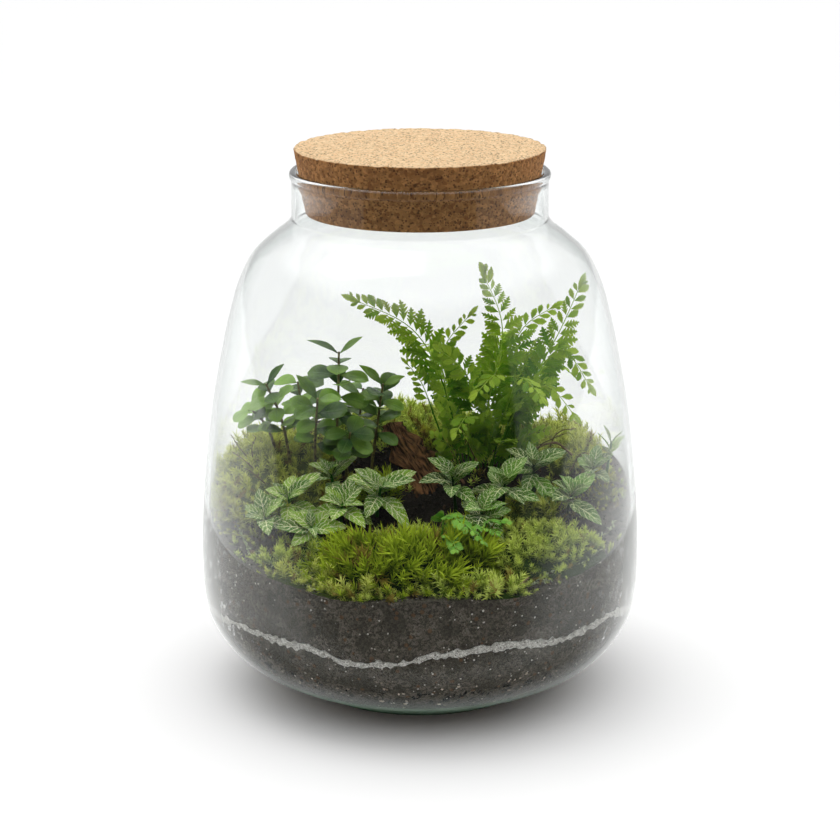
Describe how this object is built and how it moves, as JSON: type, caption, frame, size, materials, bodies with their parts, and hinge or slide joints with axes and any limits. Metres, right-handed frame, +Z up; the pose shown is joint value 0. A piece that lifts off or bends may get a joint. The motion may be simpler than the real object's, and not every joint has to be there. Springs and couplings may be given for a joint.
{
  "type": "glass plant terrarium",
  "caption": "Cork-lidded glass jar terrarium with layered soil and sand, moss, a fern, a small shrub and white-veined plants.",
  "frame": {"origin": "centre of the jar's flat base, on the surface it stands on", "axes": "+Z up; -Y towards the front, the side the picture shows; +X to the right as seen from the front"},
  "size_m": [0.25, 0.25, 0.3098],
  "materials": {
    "glass": "clear blown glass with a faint green tint where it is thick",
    "cork": "matte pressed cork granules",
    "gravel": "matte small tan and brown stones",
    "soil": "matte dark potting soil with pale specks",
    "sand": "matte pale sand",
    "driftwood": "rough reddish brown wood",
    "twig": "matte dry twig",
    "moss": "matte living moss",
    "fern_leaf": "satin thin fern leaf",
    "sprig_leaf": "satin bright small leaves",
    "shrub_leaf": "glossy rounded leaves",
    "veined_leaf": "satin green leaves with pale veins"
  },
  "bodies": {
    "root": {"cork_lid": "cork", "driftwood": "driftwood", "fern_frond_1": "fern_leaf", "fern_frond_2": "fern_leaf", "fern_frond_3": "fern_leaf", "fern_frond_4": "fern_leaf", "fern_frond_5": "fern_leaf", "fern_frond_6": "fern_leaf", "fern_frond_7": "fern_leaf", "fern_frond_8": "fern_leaf", "fern_frond_9": "fern_leaf", "fern_low_frond_1": "fern_leaf", "fern_low_frond_2": "fern_leaf", "fern_low_frond_3": "fern_leaf", "fern_low_frond_4": "fern_leaf", "fern_low_frond_5": "fern_leaf", "fern_low_frond_6": "fern_leaf", "glass_jar": "glass", "gravel_layer": "gravel", "lower_soil": "soil", "moss_back": "moss", "moss_back_right": "moss", "moss_front": "moss", "moss_front_right": "moss", "moss_left": "moss", "sand_layer": "sand", "shrub_stem_1": "shrub_leaf", "shrub_stem_2": "shrub_leaf", "shrub_stem_3": "shrub_leaf", "shrub_stem_4": "shrub_leaf", "shrub_stem_5": "shrub_leaf", "shrub_stem_6": "shrub_leaf", "shrub_stem_7": "shrub_leaf", "shrub_stem_8": "shrub_leaf", "slender_shoot": "veined_leaf", "sprig_front": "sprig_leaf", "twig_back_right": "twig", "twig_front_left": "twig", "twig_front_right": "twig", "upper_soil": "soil", "veined_left_1": "veined_leaf", "veined_left_2": "veined_leaf", "veined_left_3": "veined_leaf", "veined_left_4": "veined_leaf", "veined_left_5": "veined_leaf", "veined_left_6": "veined_leaf", "veined_right_1": "veined_leaf", "veined_right_2": "veined_leaf", "veined_right_3": "veined_leaf", "veined_right_4": "veined_leaf", "veined_right_5": "veined_leaf", "veined_right_6": "veined_leaf"}
  },
  "joints": []
}
